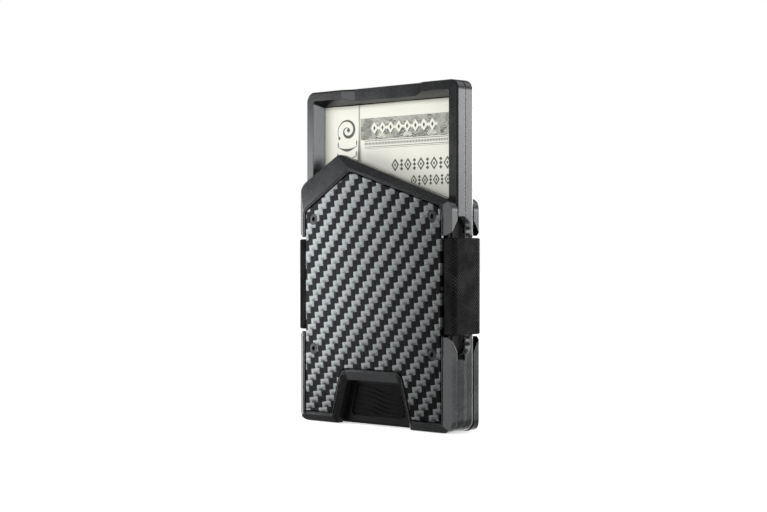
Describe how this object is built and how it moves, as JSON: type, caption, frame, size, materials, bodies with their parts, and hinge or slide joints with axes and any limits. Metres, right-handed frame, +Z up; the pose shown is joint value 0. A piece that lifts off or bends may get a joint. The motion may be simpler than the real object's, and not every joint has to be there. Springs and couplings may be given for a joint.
{
  "type": "money clip",
  "caption": "Plate money clip: two peaked plates with textured inlays, a wide elastic strap round both, and a windowed cash tray that slides out between them.",
  "frame": {"origin": "standing plane (the lower edges of the two plates), midway between the plates and midway across the width", "axes": "+Z up, the way the tray pulls out; -Y the way the front plate faces; +X to the right when the front plate is seen from in front"},
  "size_m": [0.0596, 0.0126, 0.0915],
  "materials": {
    "anodised_plate": "bead-blasted, black anodised",
    "carbon_inlay": "satin carbon-fibre twill laminate",
    "screw_black": "black oxide",
    "insert_brass": "turned",
    "strap_elastic": "woven elastic webbing, black",
    "tray_black": "bead-blasted, black anodised",
    "grip_rubber": "moulded, matt",
    "note_paper": null
  },
  "bodies": {
    "front_plate": {"front_plate": "anodised_plate", "front_inlay": "carbon_inlay", "front_screws": "screw_black", "front_inserts": "insert_brass", "elastic_strap": "strap_elastic"},
    "tray": {"tray_bezel": "tray_black", "tray_shell": "tray_black", "tray_screws": "screw_black", "thumb_grip": "grip_rubber"},
    "notes": {"outer_note": "note_paper", "inner_note": "note_paper"},
    "back_plate": {"back_plate": "anodised_plate", "back_inlay": "carbon_inlay", "back_screws": "screw_black", "back_inserts": "insert_brass"}
  },
  "joints": [
    {"name": "tray_slide", "type": "slide", "parent": "front_plate", "child": "tray", "axis": [0, 0, 1], "range_m": [0, 0.078]},
    {"name": "back_plate_spread", "type": "slide", "parent": "front_plate", "child": "back_plate", "axis": [0, 1, 0], "range_m": [0, 0.008], "stiffness_N_per_m": 500, "springref_m": -0.004, "deforming": ["elastic_strap"]},
    {"name": "notes_slide", "type": "slide", "parent": "tray", "child": "notes", "axis": [0, 0, 1], "range_m": [0, 0.072]}
  ]
}
